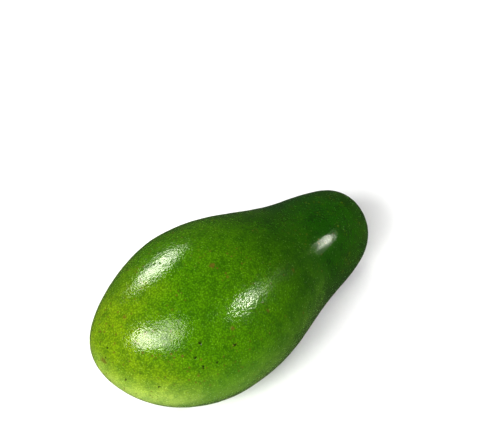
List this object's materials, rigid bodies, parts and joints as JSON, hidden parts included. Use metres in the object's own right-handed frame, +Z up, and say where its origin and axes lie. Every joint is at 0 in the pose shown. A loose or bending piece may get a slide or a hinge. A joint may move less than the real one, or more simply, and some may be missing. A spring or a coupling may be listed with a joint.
{
  "type": "avocado",
  "caption": "Whole green avocado, pear-shaped with a narrower neck, lying on its side on a small flat spot, with a short stub of stem in its stem end. Fresh fruit for kitchen and food scenes.",
  "frame": {"origin": "middle of the small flat spot that the fruit rests on", "axes": "+Z up from the surface it lies on, +X level towards the stem end, +Y level across the fruit"},
  "size_m": [0.1365, 0.0699, 0.0684],
  "materials": {
    "skin": "waxy green peel with fine pale speckles and a soft gloss",
    "stem": "dry broken stem, ochre sides and a brown face"
  },
  "bodies": {
    "root": {"fruit": "skin", "stem_stub": "stem"}
  },
  "joints": []
}
